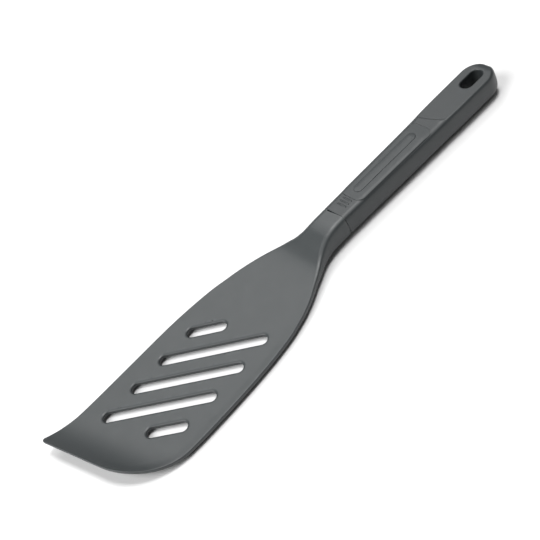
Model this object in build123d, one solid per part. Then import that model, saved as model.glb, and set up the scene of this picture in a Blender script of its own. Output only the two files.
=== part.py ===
from build123d import *
import math
import os

# A slotted turner: a blade and neck in one moulding, plugged into a hollow handle
# that carries a softer thumb panel. Millimetres, +Z up, +X from the blade's tip to
# the handle's end. Stations are distances from the tip, and heights are measured
# from the surface that the tool lies on.

# Overall
LENGTH = 349.4            # tip of the blade to the end of the handle
AXIS_HEIGHT = 9.8         # centre line of the handle
SEAM = 209.4              # station where the head meets the handle

# Blade
BLADE_HALF = 40.0         # half of the widest part
BLADE_THICK = 2.4
BLADE_UNDER = 1.9         # underside of the flat part
SKEW = 12.4               # front edge leans back by this angle towards the near side
NEAR_CORNER = 41.0        # radius of the large front corner
FAR_CORNER = 2.0          # radius of the small front corner
LIP_RUN = 29.0            # depth of the curled front lip
LIP_RADIUS = 60.0         # curl of its upper face
LIP_EDGE = 1.4            # thickness at the front edge
FRONT_FAR = 39.2          # far front corner, beside the centre line
PLATE_END = 136.0         # station where the flat plate hands over to the neck
PLATE_FAR = 37.2          # its sides there
PLATE_NEAR = 33.2

# Drain slots, on lines at 45 degrees
SLOT_WIDTH = 7.0
SLOT_PITCH = 23.6
FIRST_SLOT = 128.4        # station where the first slot's line crosses the centre line
SLOT_MARGIN = 16.4        # end of a slot's centre line to the blade's side
SHORT_SLOT = 17.8         # centre line of the first and the last slot
SLOT_COUNT = 5
SLOT_NEAR_ENDS = (0, 19.0, 21.2, 22.2, 22.8)    # near ends beside the centre line
SLOT_DRIFT = 0.6          # each slot's far end is this much closer to the centre line

# Handle
SEAM_HALF = 9.8           # half width at the seam, halfway down the oval side
GRIP_HALF = 11.8          # the same at the widest, before the round end
GRIP_FLAT = 10.3          # half width of the flat top there
SOFT_EDGE = 2.0           # rounding where the top turns into the sides
FOOT = 3.0                # half width of the narrow flat underneath
ROUND_END = 12.5          # length of the round end
END_HEIGHT = 0.35         # share of the height that is left at its tip
END_POWER = 0.6           # how late the height falls off
TOP_RISE = 7.0            # flat top above the centre line
BOTTOM_DROP = 9.8         # underside below the centre line
FLAT_NEAR = 299.0         # a flat is cut into the top behind this slanted, curved line:
FLAT_MIDDLE = 294.4       # its stations at the near edge, on the centre line
FLAT_FAR = 292.3          # and at the far edge
FLAT_HALF = 10.8
FLAT_DEPTH = 0.6
HOLE_CENTRE = 334.0
HOLE_LENGTH = 17.0
HOLE_WIDTH = 8.7
HOLE_ROUND = 1.0
SEAM_BREAK = 0.35         # small chamfer that draws the seam

# Joint inside the handle
TANG_LENGTH = 72.0
TANG_WIDTH = 12.0
TANG_HEIGHT = 6.0
TANG_ROUND = 1.5
TANG_ROOT = 4.0           # length of the tang inside the neck
FIT_GAP = 0.1
CORE_END = 313.0          # the handle is cored out as far as this station
CORE_WIDTH = 9.0
CORE_HEIGHT = 6.0
BARB_STATION = 216.0
BARB_LENGTH = 6.0
BARB_RISE = 0.9

# Thumb panel
PANEL_START = 223.0
PANEL_END = 288.4
PANEL_FRONT = 8.8         # half width at its end towards the blade
PANEL_BACK = 9.4          # and towards the hole
PANEL_CORNER = 5.0
PANEL_FLOOR = 4.0         # floor of its recess above the centre line
PANEL_PROUD = 0.25        # the panel stands this far out of the handle
PANEL_ROUND = 0.3
RAIL_HALF = 3.3           # raised strip along the panel's middle
RAIL_START = 228.0
RAIL_END = 281.0
RAIL_RISE = 0.3
RAIL_ROUND = 0.25

# Thumb ridges below the panel
RIDGES = 3
RIDGE_PITCH = 2.5
RIDGE_FIRST = 216.2
RIDGE_LENGTH = 8.0
RIDGE_WIDTH = 1.4
RIDGE_RISE = 0.4
RIDGE_ROUND = 0.35
ROOT = 1.0                # how deep raised details start inside the material

CLEAR = 5.0               # how far cutters reach past the material


def at(station):
    """X in the part's frame of a distance from the tip."""
    return station - LENGTH / 2


def d_face(station, top, bottom, far, near):
    """Section across the tool: flat top, softened edges, oval sides, flat underneath.

    far and near are (half width, half width of the top flat, of the bottom flat).
    """
    def side(half, flat, foot, sign):
        bulge = (8 * half - flat - foot) / 6
        shoulder = top - 0.4 * (top - bottom)
        run = math.hypot(bulge - flat, top - shoulder)
        soft = min(SOFT_EDGE, 0.3 * run, 0.3 * (top - bottom))
        start = (flat + soft * (bulge - flat) / run, top - soft * (top - shoulder) / run)
        corner = [(flat - soft, top), (flat, top), start]
        flank = [start, (bulge, shoulder), (bulge, bottom), (foot, bottom)]
        return [[(at(station), sign * y, z) for y, z in curve] for curve in (corner, flank)]

    far_corner, far_flank = side(*far, 1)
    near_corner, near_flank = side(*near, -1)
    edges = [
        Line(near_corner[0], far_corner[0]),
        Bezier(*far_corner),
        Bezier(*far_flank),
        Line(far_flank[-1], near_flank[-1]),
        Bezier(*reversed(near_flank)),
        Bezier(*reversed(near_corner)),
    ]
    return make_face(Wire(edges))


def blade_outline():
    """Plan of the blade and the neck's shadow, closed at the end of the flat plate."""
    skew = math.tan(math.radians(SKEW))
    near_front = (at((FRONT_FAR + BLADE_HALF) * skew), -BLADE_HALF)
    far_front = (at(0), FRONT_FAR)
    far_end = (at(PLATE_END), PLATE_FAR)
    near_end = (at(PLATE_END), -PLATE_NEAR)
    far_side = Spline(
        far_end, (at(122), 38.9), (at(102), BLADE_HALF), (at(40), 39.1), far_front,
        tangents=[(-1, 0.17), (-1, 0)],
    )
    near_side = Spline(
        (at(60), -BLADE_HALF), (at(94), -38.5), (at(120), -36.0), near_end,
        tangents=[(1, 0), (1, 0.28)],
    )
    outline = [
        far_side,
        Line(far_front, near_front),
        Line(near_front, (at(60), -BLADE_HALF)),
        near_side,
        Line(near_end, far_end),
    ]
    face = make_face(Wire(outline))
    corners = face.vertices()
    far_corner = corners.sort_by_distance((*far_front, 0))[0]
    face = fillet(far_corner, FAR_CORNER)
    near_corner = face.vertices().sort_by_distance((*near_front, 0))[0]
    return fillet(near_corner, NEAR_CORNER)


def lip_profile():
    """Side view of the flat plate and its curled lip, across the lean of the front edge."""
    rise = LIP_RADIUS - math.sqrt(LIP_RADIUS**2 - LIP_RUN**2)
    top_edge = BLADE_THICK + rise
    under_edge = top_edge - LIP_EDGE
    back = PLATE_END + 2 * BLADE_HALF
    under_radius = (LIP_RUN**2 + under_edge**2) / (2 * under_edge)
    wire = Wire([
        Line((back, BLADE_THICK), (LIP_RUN, BLADE_THICK)),
        RadiusArc((LIP_RUN, BLADE_THICK), (0, top_edge), LIP_RADIUS),
        Line((0, top_edge), (0, under_edge)),
        RadiusArc((0, under_edge), (LIP_RUN, 0), -under_radius),
        Line((LIP_RUN, 0), (back, 0)),
        Line((back, 0), (back, BLADE_THICK)),
    ])
    return make_face(wire)


def slot(centre_line_start, centre_line_end):
    """Obround cutter through the blade between two points of its plan."""
    (x0, y0), (x1, y1) = centre_line_start, centre_line_end
    length = math.hypot(x1 - x0, y1 - y0)
    plan = SlotCenterToCenter(length, SLOT_WIDTH, rotation=-45)
    middle = Pos((at(x0) + at(x1)) / 2, (y0 + y1) / 2, -CLEAR)
    return middle * extrude(plan, 2 * AXIS_HEIGHT + 2 * CLEAR)


def slots():
    """Five parallel slots: long ones across the blade, a short one at each end."""
    cutters = []
    reach = BLADE_HALF - SLOT_MARGIN
    short = SHORT_SLOT / math.sqrt(2)
    near_ends = SLOT_NEAR_ENDS
    for number in range(SLOT_COUNT):
        crossing = FIRST_SLOT - number * SLOT_PITCH
        far, near = reach - SLOT_DRIFT * number, -near_ends[number]
        if number == 0:
            near = far - short
        if number == SLOT_COUNT - 1:
            far = near + short
        cutters.append(slot((crossing - far, far), (crossing - near, near)))
    return cutters


def make_blade():
    lean = math.radians(SKEW)
    origin = (at(0), FRONT_FAR, BLADE_UNDER)
    across = (math.cos(lean), math.sin(lean), 0)
    along = (math.sin(lean), -math.cos(lean), 0)
    plane = Plane(origin=origin, x_dir=across, z_dir=along)
    curled = extrude(plane * lip_profile(), 4 * BLADE_HALF, both=True)
    prism = Pos(0, 0, -CLEAR) * extrude(blade_outline(), 2 * AXIS_HEIGHT + 2 * CLEAR)
    blade = curled & prism
    for cutter in slots():
        blade -= cutter
    return blade


def make_neck():
    """The neck sweeps down and widens into the blade."""
    under = BLADE_UNDER
    # station, top above the blade's underside, bottom above it, far half, near half
    sections = [
        (SEAM, 14.9, -1.9, SEAM_HALF, SEAM_HALF),
        (202.0, 14.6, -1.8, 9.9, 9.9),
        (195.0, 13.3, -1.5, 10.8, 10.1),
        (189.0, 10.8, -1.1, 13.4, 11.0),
        (183.0, 8.0, -0.7, 17.8, 13.0),
        (176.5, 5.8, -0.3, 22.2, 16.2),
        (169.0, 4.5, 0.0, 26.6, 20.0),
        (160.0, 3.6, 0.0, 30.6, 24.8),
        (151.0, 3.0, 0.0, 33.6, 28.6),
        (143.0, 2.6, 0.0, 35.6, 31.2),
        (PLATE_END, BLADE_THICK, 0.0, PLATE_FAR, PLATE_NEAR),
    ]
    faces = []
    for station, top, bottom, far, near in sections:
        thick = top - bottom
        edge = min(0.16 * thick, 2.6)
        foot = min(0.42 * thick, 7.4)
        faces.append(d_face(
            station, under + top, under + bottom,
            (far, far - edge, far - foot), (near, near - edge, near - foot),
        ))
    return loft(faces)


def tang(gap=0.0):
    """Plug of the head inside the handle, with a barb above and below. A gap makes its socket."""
    size = (TANG_ROOT + TANG_LENGTH + gap, TANG_WIDTH + 2 * gap, TANG_HEIGHT + 2 * gap)
    start = SEAM - TANG_ROOT
    bar = Box(*size, align=(Align.MIN, Align.CENTER, Align.CENTER))
    bar = fillet(bar.edges().filter_by(Axis.X), TANG_ROUND)
    plug = Pos(at(start), 0, AXIS_HEIGHT) * bar
    barb = Box(
        BARB_LENGTH + 2 * gap, TANG_WIDTH / 2 + 2 * gap, TANG_HEIGHT + 2 * (BARB_RISE + gap),
    )
    return plug + Pos(at(BARB_STATION), 0, AXIS_HEIGHT) * barb


def make_head():
    neck = make_neck()
    seam_rim = neck.faces().sort_by(Axis.X)[-1].edges()
    neck = chamfer(seam_rim, SEAM_BREAK)
    return make_blade() + neck + tang()


def handle_body(grow=0.0):
    """Flat-topped oval bar that widens towards a round end. grow makes it larger all round."""
    # station, half width, half width of the top flat
    sections = [
        (SEAM, SEAM_HALF, 7.6),
        (242.0, 10.4, 7.8),
        (272.0, 11.0, 8.0),
        (290.0, 11.35, 8.6),
        (303.0, 11.6, 10.1),
        (320.0, GRIP_HALF, GRIP_FLAT),
        (LENGTH - ROUND_END, GRIP_HALF, GRIP_FLAT),
    ]
    faces = []
    for station, half, flat in sections:
        side = (half + grow, flat + grow / 2, FOOT)
        faces.append(d_face(
            station, AXIS_HEIGHT + TOP_RISE + grow, AXIS_HEIGHT - BOTTOM_DROP - grow, side, side,
        ))
    return loft(faces)


def round_end():
    """Round nose of the handle: its width follows a circle and its height falls off later."""
    turns = [math.radians(angle) for angle in (0, 20, 40, 55, 67, 77, 84)]
    faces = []
    for turn in turns:
        width = math.cos(turn)
        height = END_HEIGHT + (1 - END_HEIGHT) * width**END_POWER
        reach = ROUND_END * math.sin(turn) / math.sin(turns[-1])
        side = (GRIP_HALF * width, GRIP_FLAT * width, FOOT * width)
        faces.append(d_face(
            LENGTH - ROUND_END + reach,
            AXIS_HEIGHT + TOP_RISE * height, AXIS_HEIGHT - BOTTOM_DROP * height, side, side,
        ))
    return loft(faces)


def panel_plan(gap=0.0):
    """Plan of the thumb panel, slightly wider towards the hole, with round corners."""
    start, end = at(PANEL_START) - gap, at(PANEL_END) + gap
    front, back = PANEL_FRONT + gap, PANEL_BACK + gap
    plan = Polygon((start, -front), (end, -back), (end, back), (start, front), align=None)
    return fillet(plan.vertices(), PANEL_CORNER + gap)


def flat_cutter():
    """Everything above the flat at the hole end, behind its slanted, curved front."""
    near, middle, far = at(FLAT_NEAR), at(FLAT_MIDDLE), at(FLAT_FAR)
    end = at(LENGTH + CLEAR)
    plan = make_face(Wire([
        ThreePointArc((near, -FLAT_HALF), (middle, 0), (far, FLAT_HALF)),
        Line((far, FLAT_HALF), (end, FLAT_HALF)),
        Line((end, FLAT_HALF), (end, -FLAT_HALF)),
        Line((end, -FLAT_HALF), (near, -FLAT_HALF)),
    ]))
    return Pos(0, 0, AXIS_HEIGHT + TOP_RISE - FLAT_DEPTH) * extrude(plan, CLEAR)


def hanging_hole(body):
    """The body with its obround hole, rounded at both rims."""
    plan = SlotOverall(HOLE_LENGTH, HOLE_WIDTH)
    body -= Pos(at(HOLE_CENTRE), 0, -CLEAR) * extrude(plan, 2 * AXIS_HEIGHT + 2 * CLEAR)
    reach = HOLE_LENGTH / 2 + HOLE_ROUND / 2
    rims = body.edges().filter_by_position(Axis.X, at(HOLE_CENTRE) - reach, at(HOLE_CENTRE) + reach)
    rims = [edge for edge in rims if abs(edge.center().Y) < (HOLE_WIDTH + HOLE_ROUND) / 2]
    rims = [edge for edge in rims if abs(edge.tangent_at(0.5).Z) < 0.5]
    return fillet(rims, HOLE_ROUND)


def make_handle():
    body = handle_body() + round_end()
    body -= flat_cutter()
    body = hanging_hole(body)
    body -= Pos(0, 0, AXIS_HEIGHT + PANEL_FLOOR) * extrude(panel_plan(FIT_GAP), 2 * CLEAR)

    body -= tang(FIT_GAP)
    core_length = CORE_END - SEAM
    core = Box(core_length, CORE_WIDTH, CORE_HEIGHT, align=(Align.MIN, Align.CENTER, Align.CENTER))
    body -= Pos(at(SEAM), 0, AXIS_HEIGHT) * core

    bar = extrude(SlotOverall(RIDGE_LENGTH, RIDGE_WIDTH, rotation=90), ROOT + RIDGE_RISE)
    bar = fillet(bar.edges().group_by(Axis.Z)[-1], RIDGE_ROUND)
    for number in range(RIDGES):
        station = RIDGE_FIRST + number * RIDGE_PITCH
        body += Pos(at(station), 0, AXIS_HEIGHT + TOP_RISE - ROOT) * bar
    return body


def make_panel():
    """The panel follows the handle's rounded top and stands slightly proud of it."""
    floor = Pos(0, 0, AXIS_HEIGHT + PANEL_FLOOR)
    pad = handle_body(PANEL_PROUD) & (floor * extrude(panel_plan(), 2 * CLEAR))
    top = AXIS_HEIGHT + TOP_RISE + PANEL_PROUD
    rail_plan = SlotOverall(RAIL_END - RAIL_START, 2 * RAIL_HALF)
    rail_place = Pos(at((RAIL_START + RAIL_END) / 2), 0, top - ROOT)
    rail = rail_place * extrude(rail_plan, ROOT + RAIL_RISE)
    rail = fillet(rail.edges().group_by(Axis.Z)[-1], RAIL_ROUND)
    return pad + rail


def main():
    os.makedirs("parts", exist_ok=True)
    parts = {"head": make_head(), "handle": make_handle(), "grip_panel": make_panel()}
    for name, solid in parts.items():
        export_step(solid, f"parts/{name}.step")


main()
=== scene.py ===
import math

import bmesh
import bpy
import numpy as np
from mathutils import Matrix, Vector


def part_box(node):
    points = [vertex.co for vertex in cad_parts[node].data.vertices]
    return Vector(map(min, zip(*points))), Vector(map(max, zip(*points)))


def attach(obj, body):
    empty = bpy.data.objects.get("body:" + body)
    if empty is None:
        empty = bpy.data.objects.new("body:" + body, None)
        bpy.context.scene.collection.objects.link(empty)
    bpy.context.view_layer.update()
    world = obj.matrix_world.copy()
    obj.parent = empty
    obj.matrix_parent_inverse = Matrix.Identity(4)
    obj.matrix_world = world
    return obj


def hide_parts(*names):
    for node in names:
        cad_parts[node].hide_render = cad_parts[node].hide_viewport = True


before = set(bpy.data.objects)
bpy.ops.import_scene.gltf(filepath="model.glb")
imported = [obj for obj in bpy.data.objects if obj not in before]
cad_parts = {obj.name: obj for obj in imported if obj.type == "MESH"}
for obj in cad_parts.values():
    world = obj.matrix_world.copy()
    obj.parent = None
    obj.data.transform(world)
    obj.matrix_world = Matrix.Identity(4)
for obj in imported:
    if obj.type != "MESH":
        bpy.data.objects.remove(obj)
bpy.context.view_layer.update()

MM = 0.001
CREASE = 32               # edges sharper than this many degrees stay crisp

# Driving dimensions in millimetres, as in the CAD part. Stations are distances from
# the blade's tip along the tool, and heights are above the surface that it lies on.
LENGTH = 349.4
SEAM = 209.4
SEAM_BREAK = 0.3          # small chamfer that draws the seam
AXIS_HEIGHT = 9.8
HANDLE_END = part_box("handle")[1].x / MM

BLADE_HALF = 40.0
BLADE_THICK = 2.4
BLADE_UNDER = 1.9
SKEW = math.radians(12.4)
NEAR_CORNER = 41.0
FAR_CORNER = 2.5
FRONT_FAR = 39.2
LIP_RUN = 29.0
LIP_RADIUS = 60.0
LIP_THIN = 0.5            # the lip loses this much thickness towards its edge
LAND_WIDTH = 5.6          # border along the near side, very slightly raised outwards
LAND_RISE = 0.38

SLOT_WIDTH = 7.0
SLOT_PITCH = 23.6
FIRST_SLOT = 128.4
SLOT_REACH = 23.6         # far ends of the slots, beside the centre line
SHORT_SLOT = 17.8
NEAR_ENDS = (0, 19.0, 21.2, 22.2, 22.8)     # the first is worked out from SHORT_SLOT
SLOT_DRIFT = 0.6          # each slot ends this much nearer the middle than the one before
UNDER_RIM = 0.3           # round of the slots' lower rims
# upper rims of the slots, as (widening, depth): a gentle bevel and a tight round
SLOT_RIM = (
    (1.5, 0.0), (1.3, 0.02), (1.1, 0.07), (0.85, 0.16), (0.6, 0.26), (0.4, 0.36),
    (0.25, 0.47), (0.12, 0.6), (0.04, 0.75), (0.0, 0.95),
)

TOP_RISE = 7.0
BOTTOM_DROP = 9.8
ROUND_END = 12.5
END_HEIGHT = 0.35
END_POWER = 0.6
FLAT_START = 294.4        # a flat is cut into the top behind a slanted, curved line
FLAT_BOW = 0.0107         # its shape: station added per square millimetre of y
FLAT_SLANT = -0.31        # and per millimetre of y
FLAT_DEPTH = 0.6
FLAT_FRONT = 1.0          # length of the slope down to the flat
FLAT_SOFT = 0.1           # softness of the flat's long edges
HOLE_CENTRE = 334.0
HOLE_LENGTH = 17.0
HOLE_WIDTH = 8.7
HOLE_ROUND = 1.0

PANEL_START = 223.0
PANEL_END = 288.4
PANEL_FRONT = 8.8         # half width at its end towards the blade
PANEL_BACK = 9.4          # and towards the hole
PANEL_CORNER = 5.0
PANEL_FLOOR = 4.0
PANEL_PROUD = 0.25
PANEL_ROUND = 0.45
PANEL_GAP = 0.12
RAIL_HALF = 3.3
RAIL_START = 228.0
RAIL_END = 281.0
RAIL_RISE = 0.3

RIDGES = 3
RIDGE_PITCH = 2.5
RIDGE_FIRST = 216.2
RIDGE_LENGTH = 8.0
RIDGE_RADIUS = 0.75
RIDGE_SINK = 0.35

# Sections of the neck, from the flat plate to the seam:
# station, top and bottom above the blade's underside, far and near half widths
NECK = (
    (136.0, 2.4, 0.0, 37.2, 33.2),
    (143.0, 2.6, 0.0, 35.6, 31.2),
    (151.0, 3.0, 0.0, 33.6, 28.6),
    (160.0, 3.6, 0.0, 30.6, 24.8),
    (169.0, 4.5, 0.0, 26.6, 20.0),
    (176.5, 5.8, -0.3, 22.2, 16.2),
    (183.0, 8.0, -0.7, 17.8, 13.0),
    (189.0, 10.8, -1.1, 13.4, 11.0),
    (195.0, 13.3, -1.5, 10.8, 10.1),
    (202.0, 14.6, -1.8, 9.9, 9.9),
    (209.4, 14.9, -1.9, 9.8, 9.8),
)

# Sections of the handle: station, half width, half width of the flat top
GRIP = (
    (209.4, 9.8, 5.2),
    (242.0, 10.4, 5.5),
    (272.0, 11.0, 5.8),
    (290.0, 11.35, 6.2),
    (303.0, 11.6, 8.1),
    (320.0, 11.8, 8.3),
    (336.9, 11.8, 8.3),
)
SHOULDER = 0.7            # share of a side's width that is gently rounded
SHOULDER_FALL = 0.27      # how fast it falls
FOOT = 3.0                # half width of the narrow flat under the handle


SEAM_THICK = NECK[-1][1] - NECK[-1][2]
RIM_STEPS = 27            # points from the top of the rim to the bottom, in three equal stretches
FLAT_POINTS = 14          # points on half the flat top of a handle section
SIDE_STEPS = 16           # and on each of the three stretches of its side


def at(station):
    """Metres along X of a distance from the tip."""
    return (HANDLE_END - LENGTH + station) * MM


def smooth_curve(knots):
    """A function through (position, value) knots with no overshoot between them."""
    xs = np.array([knot[0] for knot in knots], float)
    ys = np.array([knot[1] for knot in knots], float)
    steps = np.diff(xs)
    slopes = np.diff(ys) / steps
    tangents = np.zeros(len(xs))
    for i in range(1, len(xs) - 1):
        if slopes[i - 1] * slopes[i] > 0:
            before = 2 * steps[i] + steps[i - 1]
            after = steps[i] + 2 * steps[i - 1]
            tangents[i] = (before + after) / (before / slopes[i - 1] + after / slopes[i])
    tangents[0] = slopes[0]
    tangents[-1] = slopes[-1]

    def value(x):
        i = int(np.clip(np.searchsorted(xs, x) - 1, 0, len(xs) - 2))
        t = (np.clip(x, xs[0], xs[-1]) - xs[i]) / steps[i]
        blend = t * t * (3 - 2 * t)
        return (
            ys[i] * (1 - blend) + ys[i + 1] * blend
            + steps[i] * t * (1 - t) * (tangents[i] * (1 - t) - tangents[i + 1] * t)
        )

    return value


neck_top = smooth_curve([(row[0], row[1]) for row in NECK])
neck_bottom = smooth_curve([(row[0], row[2]) for row in NECK])


def new_object(name, mesh):
    piece = bpy.data.objects.new(name, mesh)
    bpy.context.scene.collection.objects.link(piece)
    return piece


def mesh_from(name, points, faces):
    mesh = bpy.data.meshes.new(name)
    mesh.from_pydata([Vector(p) for p in points], [], faces)
    mesh.validate()
    bm = bmesh.new()
    bm.from_mesh(mesh)
    bmesh.ops.recalc_face_normals(bm, faces=bm.faces)
    bm.to_mesh(mesh)
    bm.free()
    return new_object(name, mesh)


def bool_with(piece, tool, operation):
    """Cut or join piece with tool, and delete the tool."""
    modifier = piece.modifiers.new("bool", "BOOLEAN")
    modifier.operation = operation
    modifier.solver = "EXACT"
    modifier.object = tool
    bpy.context.view_layer.update()
    evaluated = piece.evaluated_get(bpy.context.evaluated_depsgraph_get())
    result = bpy.data.meshes.new_from_object(evaluated)
    piece.modifiers.clear()
    old = piece.data
    piece.data = result
    result.name = old.name
    bpy.data.meshes.remove(old)
    bpy.data.objects.remove(tool)


def finish_mesh(piece):
    """Weld slivers left by the cuts, close pinholes and shade smooth, with crisp edges over CREASE."""
    bm = bmesh.new()
    bm.from_mesh(piece.data)
    bmesh.ops.remove_doubles(bm, verts=bm.verts, dist=0.01 * MM)
    bmesh.ops.dissolve_degenerate(bm, edges=bm.edges, dist=0.005 * MM)
    bmesh.ops.holes_fill(bm, edges=bm.edges, sides=8)
    bmesh.ops.contextual_create(bm, geom=[edge for edge in bm.edges if edge.is_boundary])
    bmesh.ops.triangulate(bm, faces=[face for face in bm.faces if len(face.verts) > 4])
    limit = math.radians(CREASE)
    for edge in bm.edges:
        edge.smooth = not (edge.is_manifold and edge.calc_face_angle(0.0) > limit)
    for face in bm.faces:
        face.smooth = True
    bm.to_mesh(piece.data)
    bm.free()


# ---------------------------------------------------------------- the head


def spline(points, steps):
    """Smooth curve through plan points (centripetal Catmull-Rom)."""
    pts = [Vector(p) for p in points]
    pts = [2 * pts[0] - pts[1]] + pts + [2 * pts[-1] - pts[-2]]
    out = []
    for i in range(1, len(pts) - 2):
        p0, p1, p2, p3 = pts[i - 1:i + 3]
        knots = [0.0]
        for a, b in ((p0, p1), (p1, p2), (p2, p3)):
            knots.append(knots[-1] + math.sqrt((b - a).length))
        for k in range(steps):
            t = knots[1] + (knots[2] - knots[1]) * k / steps

            def mix(a, b, ta, tb):
                return a * ((tb - t) / (tb - ta)) + b * ((t - ta) / (tb - ta))

            a1 = mix(p0, p1, knots[0], knots[1])
            a2 = mix(p1, p2, knots[1], knots[2])
            a3 = mix(p2, p3, knots[2], knots[3])
            b1 = mix(a1, a2, knots[0], knots[2])
            b2 = mix(a2, a3, knots[1], knots[3])
            out.append(mix(b1, b2, knots[1], knots[2]))
    out.append(pts[-2])
    return out


def arc_corner(before, corner, after, radius, steps):
    """Points of a round corner between two straight edges, both tangent points included."""
    a = (before - corner).normalized()
    b = (after - corner).normalized()
    half = a.angle(b) / 2
    start = corner + a * radius / math.tan(half)
    centre = corner + (a + b).normalized() * radius / math.sin(half)
    sweep = math.pi - 2 * half
    turn = 1 if a.x * b.y - a.y * b.x < 0 else -1
    out = []
    for k in range(steps + 1):
        out.append(centre + Matrix.Rotation(turn * sweep * k / steps, 2) @ (start - centre))
    return out


def resample(points, count):
    """count + 1 points at even distances along a polyline."""
    pts = np.array([[p.x, p.y] for p in points])
    run = np.concatenate([[0], np.cumsum(np.linalg.norm(np.diff(pts, axis=0), axis=1))])
    even = np.linspace(0, run[-1], count + 1)
    return np.stack([np.interp(even, run, pts[:, 0]), np.interp(even, run, pts[:, 1])], 1)


def head_outline(rows, columns):
    """Near side, front edge and far side of the head's plan, as station and y in millimetres."""
    near_front = Vector(((FRONT_FAR + BLADE_HALF) * math.tan(SKEW), -BLADE_HALF))
    far_front = Vector((0, FRONT_FAR))
    near_line = [(60, -BLADE_HALF), (94, -38.5), (120, -36.0)]
    far_line = [(40, 39.1), (70, 39.6), (102, BLADE_HALF), (122, 38.9)]
    near_line += [(row[0], -row[4]) for row in NECK]
    far_line += [(row[0], row[3]) for row in NECK]
    near_arc = arc_corner(Vector(near_line[0]), near_front, far_front, NEAR_CORNER, 24)
    far_arc = arc_corner(Vector(far_line[0]), far_front, near_front, FAR_CORNER, 6)
    near = list(reversed(near_arc)) + spline([near_arc[0]] + near_line, 12)[1:]
    far = list(reversed(far_arc)) + spline([far_arc[0]] + far_line, 12)[1:]
    front = resample([near[0], far[0]], columns)
    return resample(near, rows), front, resample(far, rows)


def lip_rise(station, y):
    """Height that the curled lip adds, from the distance behind the front edge."""
    behind = station * math.cos(SKEW) + (y - FRONT_FAR) * math.sin(SKEW)
    into = np.clip(LIP_RUN - behind, 0, LIP_RUN)
    return LIP_RADIUS - math.sqrt(LIP_RADIUS**2 - into**2), into / LIP_RUN


def rim_shape(thick):
    """Section of the rim as insets from the outline: fine on the blade, oval at the neck."""
    tall = min(max((thick - BLADE_THICK) / (SEAM_THICK - BLADE_THICK), 0), 1)
    return 0.3 + 4.3 * tall**0.6, 0.3 + 2.05 * tall, -0.2 - 1.35 * tall, 0.4 + 6.4 * tall


def distance_to(outline, point):
    """Distance in plan from a point to a polyline."""
    start, end = outline[:-1], outline[1:]
    run = end - start
    t = np.clip(((point - start) * run).sum(1) / (run * run).sum(1), 0, 1)
    nearest = start + run * t[:, None]
    return float(np.sqrt(((point - nearest) ** 2).sum(1)).min())


def land_rise(border, station, y):
    """Rise of the border land towards the near side."""
    reach = distance_to(border, np.array([station, y]))
    fade = 1 - np.clip((station - 125) / 35, 0, 1)
    across = max(0.0, 1 - reach / LAND_WIDTH)
    return LAND_RISE * fade * (math.sqrt(across**2 + 0.02) - math.sqrt(0.02))


def bezier_at(pts, t):
    a, b, c, d = (1 - t) ** 3, 3 * t * (1 - t) ** 2, 3 * t * t * (1 - t), t**3
    return tuple(p * a + q * b + r * c + w * d for p, q, r, w in zip(*pts))


def oval_side(pts, flat, top, steps):
    """From the flat top over a gentle shoulder to the widest place, then down a Bezier curve."""
    widen, narrow = abs(pts[1][0] - pts[0][0]), abs(pts[2][0] - pts[3][0])
    widest = 1 / (1 + math.sqrt(narrow / widen))
    out, up = bezier_at(pts, widest)
    # the shoulder, as shares of the way out and of the way down
    turn_in = 2 * SHOULDER_FALL * SHOULDER
    low = SHOULDER_FALL * SHOULDER**2
    shares = [(SHOULDER * k / steps, SHOULDER_FALL * (SHOULDER * k / steps) ** 2) for k in range(steps)]
    corner = [(SHOULDER, low), (SHOULDER + 0.2, low + 0.2 * turn_in), (1, 0.45), (1, 1)]
    shares += [bezier_at(corner, k / steps) for k in range(steps)]
    side = [(flat + (out - flat) * u, top - (top - up) * v) for u, v in shares]
    side += [bezier_at(pts, widest + (1 - widest) * k / steps) for k in range(steps + 1)]
    return side


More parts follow.
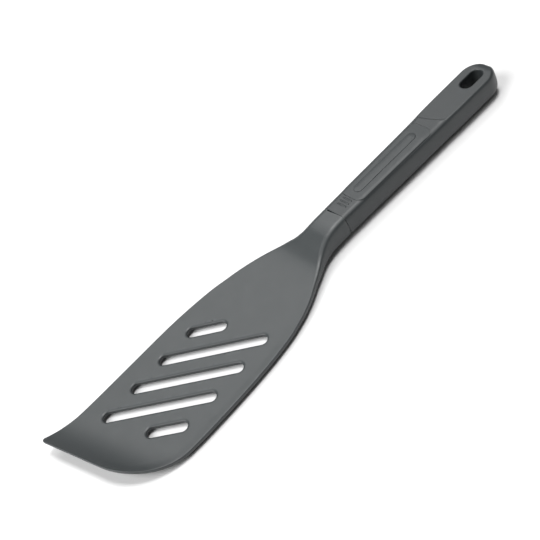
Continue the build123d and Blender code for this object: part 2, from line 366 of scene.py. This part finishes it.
def head_surface():
    rows, columns = 230, 72
    near, front, far = head_outline(rows, columns)
    # the outline as one loop: seam to front along the near side, across, and back to the seam
    loop = np.concatenate([near[::-1], front[1:-1], far])
    border = near[::-1]
    tangent = np.gradient(loop, axis=0)
    tangent /= np.linalg.norm(tangent, axis=1)[:, None]
    inward = np.stack([tangent[:, 1], -tangent[:, 0]], 1)
    middle = np.array([100.0, 0.0])
    if ((middle - loop[len(near)]) * inward[len(near)]).sum() < 0:
        inward = -inward

    points, faces = [], []

    def heights(station, y):
        lip, share = lip_rise(station, y)
        top = BLADE_UNDER + neck_top(station) + lip + land_rise(border, station, y)
        bottom = BLADE_UNDER + neck_bottom(station) + lip + LIP_THIN * share
        return top, bottom

    def add(station, y, z):
        if station > SEAM - 0.01:
            y -= math.copysign(min(SEAM_BREAK, abs(y)), y)
            z -= math.copysign(SEAM_BREAK, z - AXIS_HEIGHT)
        points.append((at(station), y * MM, z * MM))
        return len(points) - 1

    # rim: one strip of points at every place on the outline, from the top edge to the bottom edge
    strips = []
    tops, bottoms = [], []
    for place, into in zip(loop, inward):
        top, bottom = heights(*place)
        flat, start, bulge, foot = rim_shape(top - bottom)
        top = heights(*(place + into * flat))[0]
        bottom = heights(*(place + into * foot))[1]
        pts = [(start, top), (bulge, top - 0.4 * (top - bottom)), (bulge, bottom), (foot, bottom)]
        strip = [(place + into * inset, z) for inset, z in oval_side(pts, flat, top, RIM_STEPS // 3)]
        tops.append(strip[0][0])
        bottoms.append(strip[-1][0])
        strips.append([add(*plan, z) for plan, z in strip])
    for i in range(len(strips) - 1):
        for k in range(RIM_STEPS):
            faces.append((strips[i][k], strips[i + 1][k], strips[i + 1][k + 1], strips[i][k + 1]))

    # top and bottom skins between the strips
    count = len(near)
    for edges, index, which in ((tops, 0, 0), (bottoms, RIM_STEPS, 1)):
        near_ids = [strips[count - 1 - r][index] for r in range(count)]
        far_ids = [strips[count - 2 + columns + r][index] for r in range(count)]
        front_ids = [strips[count - 1 + c][index] for c in range(columns + 1)]
        near_pts = [edges[count - 1 - r] for r in range(count)]
        far_pts = [edges[count - 2 + columns + r] for r in range(count)]
        grid = [front_ids]
        for r in range(1, count):
            line = [near_ids[r]]
            for c in range(1, columns):
                share = c / columns
                plan = near_pts[r] * (1 - share) + far_pts[r] * share
                line.append(add(*plan, heights(*plan)[which]))
            line.append(far_ids[r])
            grid.append(line)
        for r in range(count - 1):
            for c in range(columns):
                faces.append((grid[r][c], grid[r][c + 1], grid[r + 1][c + 1], grid[r + 1][c]))
        if which == 0:
            seam_top = grid[-1]
        else:
            seam_bottom = grid[-1]
    # closed end at the seam
    ring = seam_top[:-1] + strips[-1][:-1] + seam_bottom[:0:-1] + strips[0][:0:-1]
    faces.append(tuple(ring))
    return mesh_from("turner_head", points, faces)


def flared_slot(name, centre, length, width, angle, low, high, upper, lower):
    """Obround cutter that opens out at both faces. Millimetres.

    upper and lower are lists of (widening, depth) from the face down to the straight wall.
    """
    radius = width / 2
    straight = length / 2 - radius
    profile = [(radius + upper[0][0], high + 6)]
    profile += [(radius + wide, high - deep) for wide, deep in upper]
    profile += [(radius + wide, low + deep) for wide, deep in reversed(lower)]
    profile.append((radius + lower[0][0], low - 6))
    around = 20
    points, faces = [], []
    for r, z in profile:
        for end in (1, -1):
            for k in range(around + 1):
                turn = math.pi * (k / around - 0.5)
                x = end * (straight + r * math.cos(turn))
                y = end * r * math.sin(turn)
                rx = x * math.cos(angle) - y * math.sin(angle)
                ry = x * math.sin(angle) + y * math.cos(angle)
                points.append((at(centre[0] + rx), (centre[1] + ry) * MM, z * MM))
    ring = 2 * (around + 1)
    for p in range(len(profile) - 1):
        for k in range(ring):
            j = (k + 1) % ring
            faces.append((p * ring + k, p * ring + j, (p + 1) * ring + j, (p + 1) * ring + k))
    faces.append(tuple(range(ring)))
    faces.append(tuple(reversed(range((len(profile) - 1) * ring, len(profile) * ring))))
    return mesh_from(name, points, faces)


def quarter_round(radius, steps=8):
    """Rim profile for flared_slot."""
    turns = [math.pi / 2 * k / steps for k in range(steps + 1)]
    return [(radius * (1 - math.sin(turn)), radius * (1 - math.cos(turn))) for turn in turns]


def make_head():
    head = head_surface()
    low = BLADE_UNDER
    high = BLADE_UNDER + BLADE_THICK
    for number in range(len(NEAR_ENDS)):
        crossing = FIRST_SLOT - number * SLOT_PITCH
        far_y, near_y = SLOT_REACH - SLOT_DRIFT * number, -NEAR_ENDS[number]
        if number == 0:
            near_y = far_y - SHORT_SLOT / math.sqrt(2)
        if number == len(NEAR_ENDS) - 1:
            far_y = near_y + SHORT_SLOT / math.sqrt(2)
        centre = (crossing - (far_y + near_y) / 2, (far_y + near_y) / 2)
        length = (far_y - near_y) * math.sqrt(2) + SLOT_WIDTH
        tool = flared_slot(
            f"slot_tool_{number}", centre, length, SLOT_WIDTH, -math.pi / 4, low, high,
            SLOT_RIM, quarter_round(UNDER_RIM),
        )
        bool_with(head, tool, "DIFFERENCE")
    finish_mesh(head)
    return head


# ---------------------------------------------------------------- the handle


def d_side(top, bottom, half, flat, foot):
    """Half a section, from the middle of the top round the side to the middle of the bottom."""
    shoulder = top - 0.4 * (top - bottom)
    bulge = 1.158 * half
    pts = [(0.76 * half, top), (bulge, shoulder), (bulge, bottom), (foot, bottom)]
    side = [(flat * k / FLAT_POINTS, top) for k in range(FLAT_POINTS)]
    side += oval_side(pts, flat, top, SIDE_STEPS)
    side += [(foot * (1 - k / 4), bottom) for k in range(1, 5)]
    return side


half_at = smooth_curve([(row[0], row[1]) for row in GRIP])
flat_at = smooth_curve([(row[0], row[2]) for row in GRIP])
HANDLE_TOP = AXIS_HEIGHT + TOP_RISE


def soft_min(value, limit, soft):
    return limit - soft * math.log1p(math.exp(min((limit - value) / soft, 50)))


def handle_ring(station, shrink=0.0, width=1.0, height=1.0):
    """Closed section of the handle; behind the slanted line its top is cut flat."""
    core = min(station, GRIP[-1][0])
    top = AXIS_HEIGHT + TOP_RISE * height - shrink
    bottom = AXIS_HEIGHT - BOTTOM_DROP * height + shrink
    side = d_side(
        top, bottom, (half_at(core) - shrink) * width, (flat_at(core) - shrink) * width, FOOT * width,
    )
    into = np.clip((station - FLAT_START) / FLAT_FRONT, 0, 1)
    depth = FLAT_DEPTH * into * into * (3 - 2 * into)
    bend = max(0.0, 1 - ((station - FLAT_START) / 15) ** 2) ** 2
    ring = []
    for sign, half_ring in ((1, side), (-1, side[-2:0:-1])):
        for y, z in half_ring:
            shift = bend * (FLAT_BOW * y * y + FLAT_SLANT * sign * y)
            if depth > 0:
                z -= max(0.0, z - soft_min(z, HANDLE_TOP - depth, FLAT_SOFT))
            ring.append((at(station + shift), sign * y * MM, z * MM))
    return ring


def skin(name, rings):
    """Closed mesh through equal rings."""
    size = len(rings[0])
    points = [point for ring in rings for point in ring]
    faces = []
    for i in range(len(rings) - 1):
        for k in range(size):
            j = (k + 1) % size
            faces.append((i * size + k, i * size + j, (i + 1) * size + j, (i + 1) * size + k))
    faces.append(tuple(range(size)))
    faces.append(tuple(reversed(range((len(rings) - 1) * size, len(rings) * size))))
    return mesh_from(name, points, faces)


def make_handle_body():
    last = GRIP[-1][0]
    rings = [handle_ring(SEAM, SEAM_BREAK)]
    rings.append(handle_ring(SEAM + 0.35 * SEAM_BREAK, 0.35 * SEAM_BREAK))
    stations = list(np.linspace(SEAM + SEAM_BREAK, FLAT_START - 0.6, 110))
    stations += list(np.linspace(FLAT_START, FLAT_START + FLAT_FRONT, 13))
    stations += list(np.linspace(FLAT_START + FLAT_FRONT + 0.6, last, 60))
    rings += [handle_ring(station) for station in stations]
    turns = 30
    for k in range(1, turns + 1):
        turn = math.pi / 2 * k / turns * 0.985
        width = math.cos(turn)
        height = END_HEIGHT + (1 - END_HEIGHT) * width**END_POWER
        rings.append(handle_ring(last + ROUND_END * math.sin(turn), 0.0, width, height))
    return skin("turner_handle", rings)


def panel_loop(gap, inset):
    """Plan loop of the panel: tapered, with round corners. Station and y in millimetres."""
    start, end = PANEL_START - gap + inset, PANEL_END + gap - inset
    corners = [
        (start, -PANEL_FRONT - gap + inset), (end, -PANEL_BACK - gap + inset),
        (end, PANEL_BACK + gap - inset), (start, PANEL_FRONT + gap - inset),
    ]
    radius = max(PANEL_CORNER + gap - inset, 0.05)
    out = []
    for k in range(4):
        before, corner, after = (Vector(corners[(k + d) % 4]) for d in (-1, 0, 1))
        bend = arc_corner(before, corner, after, radius, 14)
        out += bend
        follow = Vector(corners[(k + 1) % 4])
        far = follow + (corner - follow).normalized() * (corner - bend[-1]).length
        straight = 60 if k % 2 == 0 else 12
        out += [bend[-1].lerp(far, n / straight) for n in range(1, straight)]
    return [(p.x, p.y) for p in out]


def prism(name, loop, low, high):
    """Upright solid over a plan loop."""
    return skin(name, [[(at(s), y * MM, z * MM) for s, y in loop] for z in (low, high)])


def panel_height(station, y):
    """Height of the panel's face: the handle's rounded top, grown a little."""
    core = min(max(station, SEAM), GRIP[-1][0])
    side = d_side(
        HANDLE_TOP + PANEL_PROUD, AXIS_HEIGHT - BOTTOM_DROP - PANEL_PROUD,
        half_at(core) + PANEL_PROUD, flat_at(core) + PANEL_PROUD / 2, FOOT,
    )[:FLAT_POINTS + 2 * SIDE_STEPS]
    return float(np.interp(abs(y), [p[0] for p in side], [p[1] for p in side]))


def ridge(number):
    """Thumb ridge: a bead across the top with round ends, mostly sunk."""
    station = RIDGE_FIRST + number * RIDGE_PITCH
    mesh = bpy.data.meshes.new("ridge_tool")
    bm = bmesh.new()
    bmesh.ops.create_uvsphere(bm, u_segments=24, v_segments=16, radius=RIDGE_RADIUS * MM)
    stretch = (RIDGE_LENGTH / 2 - RIDGE_RADIUS) * MM
    for vertex in bm.verts:
        if abs(vertex.co.y) > 1e-9:
            vertex.co.y += math.copysign(stretch, vertex.co.y)
        vertex.co += Vector((at(station), 0, (HANDLE_TOP - RIDGE_SINK) * MM))
    bm.to_mesh(mesh)
    bm.free()
    return new_object("ridge_tool", mesh)


def make_handle():
    handle = make_handle_body()
    floor = AXIS_HEIGHT + PANEL_FLOOR - 0.1
    bool_with(handle, prism("recess_tool", panel_loop(PANEL_GAP, 0), floor, floor + 12), "DIFFERENCE")
    hole = flared_slot(
        "hole_tool", (HOLE_CENTRE, 0), HOLE_LENGTH, HOLE_WIDTH, 0,
        AXIS_HEIGHT - BOTTOM_DROP - 0.03, HANDLE_TOP - FLAT_DEPTH + 0.03,
        quarter_round(HOLE_ROUND), quarter_round(HOLE_ROUND),
    )
    bool_with(handle, hole, "DIFFERENCE")
    for number in range(RIDGES):
        bool_with(handle, ridge(number), "UNION")
    finish_mesh(handle)
    return handle


def obround(start, end, half, around=28):
    """Plan loop of a bar with round ends, as station and y in millimetres."""
    out = []
    for centre, side in ((end - half, 1), (start + half, -1)):
        for k in range(around + 1):
            turn = math.pi * (k / around - 0.5)
            out.append((centre + side * half * math.cos(turn), side * half * math.sin(turn)))
    return out


def make_panel():
    """Soft panel with a rounded rim, and a raised strip along its middle."""
    base = AXIS_HEIGHT + PANEL_FLOOR
    rings = [[(at(s), y * MM, base * MM) for s, y in panel_loop(0, 0)]]
    insets = [PANEL_ROUND * (1 - math.cos(math.pi / 2 * k / 7)) for k in range(8)]
    insets += [0.7, 1.0, 1.4, 1.9, 2.4, 2.9, 3.4, 3.9, 4.4, 4.85]
    for inset in insets:
        short = max(PANEL_ROUND - inset, 0)
        drop = PANEL_ROUND - math.sqrt(PANEL_ROUND**2 - short**2)
        ring = []
        for s, y in panel_loop(0, inset):
            # the panel sinks flush towards its back end
            sink = PANEL_PROUD * max(0.0, (s - RAIL_END) / (PANEL_END - RAIL_END)) + drop * (s < RAIL_END)
            ring.append((at(s), y * MM, (panel_height(s, y) - sink) * MM))
        rings.append(ring)
    panel = skin("turner_grip_panel", rings)
    top = HANDLE_TOP + PANEL_PROUD
    rail = []
    for inset, height in ((0, -1.0), (0, RAIL_RISE - 0.15), (0.06, RAIL_RISE - 0.05), (0.18, RAIL_RISE)):
        loop = obround(RAIL_START + inset, RAIL_END - inset, RAIL_HALF - inset, 16)
        rail.append([(at(s), y * MM, (top + height) * MM) for s, y in loop])
    bool_with(panel, skin("rail_tool", rail), "UNION")
    finish_mesh(panel)
    return panel


# ---------------------------------------------------------------- materials


def plastic(name, colour, roughness, grain, grain_depth, mottle):
    """Moulded plastic: faint colour drift, fine eroded grain, lighter rubbed edges."""
    material = bpy.data.materials.new(name)
    material.use_nodes = True
    nodes, links = material.node_tree.nodes, material.node_tree.links
    shader = nodes["Principled BSDF"]
    place = nodes.new("ShaderNodeTexCoord")

    drift = nodes.new("ShaderNodeTexNoise")
    drift.inputs["Scale"].default_value = 45
    drift.inputs["Detail"].default_value = 4
    links.new(place.outputs["Object"], drift.inputs["Vector"])
    tint = nodes.new("ShaderNodeMixRGB")
    tint.inputs["Color1"].default_value = (*[c * (1 - mottle) for c in colour], 1)
    tint.inputs["Color2"].default_value = (*[c * (1 + mottle) for c in colour], 1)
    links.new(drift.outputs["Fac"], tint.inputs["Fac"])

    edges = nodes.new("ShaderNodeNewGeometry")
    rubbed = nodes.new("ShaderNodeMapRange")
    rubbed.inputs["From Min"].default_value = 0.52
    rubbed.inputs["From Max"].default_value = 0.62
    rubbed.inputs["To Max"].default_value = 0.35
    links.new(edges.outputs["Pointiness"], rubbed.inputs["Value"])
    wear = nodes.new("ShaderNodeMixRGB")
    wear.inputs["Color2"].default_value = (*[c * 1.5 for c in colour], 1)
    links.new(rubbed.outputs["Result"], wear.inputs["Fac"])
    links.new(tint.outputs["Color"], wear.inputs["Color1"])
    links.new(wear.outputs["Color"], shader.inputs["Base Color"])

    sheen = nodes.new("ShaderNodeTexNoise")
    sheen.inputs["Scale"].default_value = 160
    sheen.inputs["Detail"].default_value = 3
    links.new(place.outputs["Object"], sheen.inputs["Vector"])
    rough = nodes.new("ShaderNodeMapRange")
    rough.inputs["To Min"].default_value = roughness - 0.05
    rough.inputs["To Max"].default_value = roughness + 0.05
    links.new(sheen.outputs["Fac"], rough.inputs["Value"])
    links.new(rough.outputs["Result"], shader.inputs["Roughness"])

    grains = nodes.new("ShaderNodeTexNoise")
    grains.inputs["Scale"].default_value = grain
    grains.inputs["Detail"].default_value = 2
    links.new(place.outputs["Object"], grains.inputs["Vector"])
    bump = nodes.new("ShaderNodeBump")
    bump.inputs["Strength"].default_value = 0.35
    bump.inputs["Distance"].default_value = grain_depth
    links.new(grains.outputs["Fac"], bump.inputs["Height"])
    links.new(bump.outputs["Normal"], shader.inputs["Normal"])
    return material


def dress(piece, material, node):
    piece.data.materials.clear()
    piece.data.materials.append(material)
    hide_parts(node)
    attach(piece, "root")


head_nylon = plastic("head_nylon", (0.033, 0.038, 0.0395), 0.41, 2600, 0.00004, 0.04)
handle_nylon = plastic("handle_nylon", (0.026, 0.030, 0.0315), 0.42, 2200, 0.00004, 0.05)
soft_grip = plastic("soft_grip", (0.028, 0.0325, 0.034), 0.44, 1500, 0.00007, 0.05)

dress(make_head(), head_nylon, "head")
dress(make_handle(), handle_nylon, "handle")
dress(make_panel(), soft_grip, "grip_panel")

# ---------------------------------------------------------------- floor, light and camera

FLOOR_SIZE = 14.0


def make_floor():
    mesh = bpy.data.meshes.new("floor")
    half = FLOOR_SIZE / 2
    corners = [(-half, -half, 0), (half, -half, 0), (half, half, 0), (-half, half, 0)]
    mesh.from_pydata(corners, [], [(0, 1, 2, 3)])
    floor = new_object("floor", mesh)
    floor.location.z = -0.0002
    material = bpy.data.materials.new("floor_white")
    material.use_nodes = True
    shader = material.node_tree.nodes["Principled BSDF"]
    shader.inputs["Base Color"].default_value = (0.75, 0.75, 0.75, 1)
    shader.inputs["Roughness"].default_value = 0.9
    shader.inputs["Specular IOR Level"].default_value = 0.1
    mesh.materials.append(material)


def soft_sun(name, toward, spread, strength):
    """Even soft light from far away; toward points at it and spread is its width in degrees."""
    light = bpy.data.lights.new(name, "SUN")
    light.angle = math.radians(spread)
    light.energy = strength
    lamp = bpy.data.objects.new(name, light)
    lamp.rotation_euler = (-Vector(toward)).to_track_quat("-Z", "Y").to_euler()
    bpy.context.scene.collection.objects.link(lamp)


def make_world(strength):
    world = bpy.data.worlds.new("soft_room")
    world.use_nodes = True
    background = world.node_tree.nodes["Background"]
    background.inputs["Color"].default_value = (1, 1, 1, 1)
    background.inputs["Strength"].default_value = strength
    bpy.context.scene.world = world


def make_camera():
    """Close above the near side, rolled so that the tool lies from corner to corner."""
    azimuth, elevation, roll = (math.radians(a) for a in (-22.56, 43.14, -28.55))
    distance = 0.7892
    target = Vector((-0.0111, 0.0169, 0.0026))
    back = Vector((
        math.sin(azimuth) * math.cos(elevation),
        -math.cos(azimuth) * math.cos(elevation),
        math.sin(elevation),
    ))
    level = Vector((math.cos(azimuth), math.sin(azimuth), 0))
    upright = back.cross(level)
    right = math.cos(roll) * level + math.sin(roll) * upright
    up = -math.sin(roll) * level + math.cos(roll) * upright
    camera_data = bpy.data.cameras.new("camera")
    camera_data.sensor_width = 36
    camera_data.lens = 89.07
    camera = bpy.data.objects.new("camera", camera_data)
    matrix = Matrix((right, up, back)).transposed().to_4x4()
    matrix.translation = target + back * distance
    camera.matrix_world = matrix
    bpy.context.scene.collection.objects.link(camera)
    bpy.context.scene.camera = camera


make_floor()
make_world(0.12)
soft_sun("key", (-0.75, 0.1, 0.65), 50, 3.2)
soft_sun("top", (0.2, 0.02, 0.98), 20, 2.0)
soft_sun("back", (0.22, 0.6, 0.77), 36, 1.0)
make_camera()
bpy.context.scene.view_settings.view_transform = "Standard"
